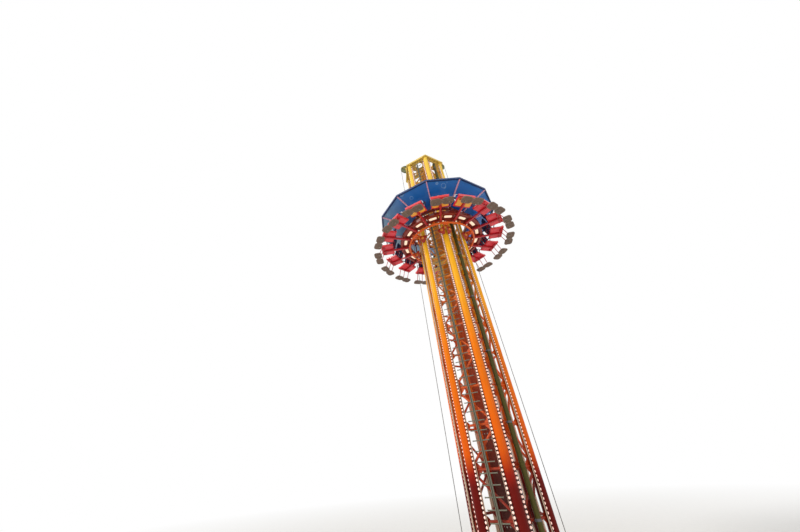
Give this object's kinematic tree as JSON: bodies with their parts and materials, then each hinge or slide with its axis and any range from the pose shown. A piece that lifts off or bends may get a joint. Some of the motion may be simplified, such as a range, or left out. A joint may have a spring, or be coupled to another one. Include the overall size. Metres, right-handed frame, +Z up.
{
  "type": "drop tower ride",
  "caption": "Fairground drop tower: a round lattice tower with ladder, lamp rails and head sheaves, and a canopied ring of outward-facing seats that slides up and down it.",
  "frame": {"origin": "on the tower's vertical axis, on the underside of the base frame, at ground level", "axes": "+Z up the tower; +X through one column; -Y through the middle of the side that has the ladder"},
  "size_m": [6.84, 6.84, 18.7449],
  "materials": {
    "base_grey": "satin grey paint on fabricated steel",
    "tower_paint": "gloss paint that shades from dark red at the foot through orange to golden yellow at the top",
    "brace_paint": "gloss orange-red paint on welded tube",
    "rail_cream": "cream powder coat with rows of lamp beads",
    "ladder_grey": "grey galvanised and painted steel",
    "duct_olive": "dark olive paint, slightly worn",
    "mast_brown": "satin red-brown paint",
    "plate_yellow": "pale yellow paint",
    "sheave_olive": "painted cast iron with bright rope groove",
    "rope_steel": "greased steel wire rope",
    "guide_orange": "gloss orange-red paint",
    "roller_amber": "cast polyurethane",
    "carriage_maroon": "gloss dark maroon paint",
    "arm_crimson": "gloss crimson paint",
    "seat_red": "moulded glass-fibre gelcoat",
    "back_navy": "moulded shell with a padded face",
    "bar_steel": "polished tube with black grips",
    "foot_brown": "grey-brown moulded tread plate",
    "rib_pink": "pinkish gloss paint",
    "canopy_blue": "painted glass-fibre panel with faint pale rings",
    "rim_navy": "dark navy paint"
  },
  "bodies": {
    "tower": {"base_frame": "base_grey", "column_1": "tower_paint", "column_2": "tower_paint", "column_3": "tower_paint", "column_4": "tower_paint", "column_5": "tower_paint", "column_6": "tower_paint", "brace_panel_1": "brace_paint", "brace_panel_2": "brace_paint", "brace_panel_3": "brace_paint", "brace_panel_4": "brace_paint", "brace_panel_5": "brace_paint", "brace_panel_6": "brace_paint", "light_rails": "rail_cream", "ladder": "ladder_grey", "cable_duct": "duct_olive", "hoist_mast": "mast_brown", "section_plate": "plate_yellow", "head_plate": "plate_yellow", "head_brackets": "plate_yellow", "head_sheaves": "sheave_olive", "return_brackets": "base_grey", "return_sheaves": "base_grey", "hoist_ropes": "rope_steel"},
    "gondola": {"guide_ring": "guide_orange", "guide_brackets": "guide_orange", "guide_rollers": "roller_amber", "carriage_inner_ring": "carriage_maroon", "carriage_outer_ring": "carriage_maroon", "carriage_webs": "carriage_maroon", "rope_clamps": "guide_orange", "seat_arms": "arm_crimson", "seat_pans": "seat_red", "seat_backs": "back_navy", "lap_bars": "bar_steel", "footplates": "foot_brown", "footplate_hangers": "arm_crimson", "upper_guide_ring": "carriage_maroon", "canopy_posts": "carriage_maroon", "canopy_ribs": "rib_pink", "canopy_panels": "canopy_blue", "canopy_rim": "rim_navy"}
  },
  "joints": [
    {"name": "gondola_lift", "type": "slide", "parent": "tower", "child": "gondola", "axis": [0, 0, 1], "range_m": [-11.05, 4.2]}
  ]
}
